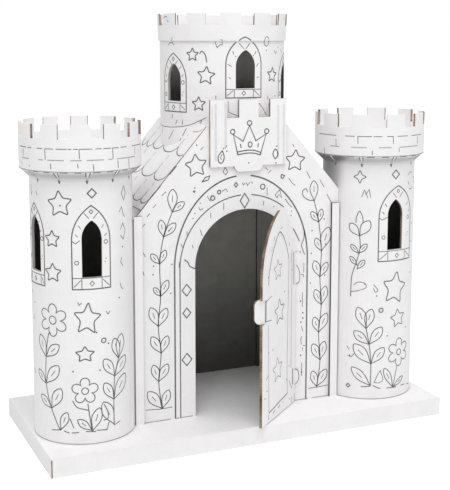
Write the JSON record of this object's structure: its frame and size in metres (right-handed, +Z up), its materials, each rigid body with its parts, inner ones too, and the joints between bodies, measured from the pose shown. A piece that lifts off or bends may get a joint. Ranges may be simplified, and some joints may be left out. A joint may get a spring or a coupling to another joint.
{
  "type": "cardboard castle",
  "caption": "Tabletop castle of folded white board with round corner towers, an arched gate with its leaf open, a gabled house and a round keep on the roof.",
  "frame": {"origin": "middle of the underside of the base, on the surface that the castle stands on", "axes": "+Z up, -Y the way the gate faces, +X to the right as seen from the front"},
  "size_m": [0.6166, 0.281, 0.6],
  "materials": {
    "board": "matte white liner, kraft brown raw edges",
    "card": "matte white card"
  },
  "bodies": {
    "root": {"base_tray": "board", "front_wall": "board", "door_leaf": "board", "corner_post_left": "board", "corner_post_right": "board", "house_wall_left": "board", "house_wall_right": "board", "roof_sheet": "board", "crest_plate": "board", "tower_tube_left": "board", "tower_tube_right": "board", "tower_collar_left": "board", "tower_collar_right": "board", "tower_deck_left": "board", "tower_deck_right": "board", "keep_tube": "board", "keep_collar": "card", "keep_deck": "board"}
  },
  "joints": []
}
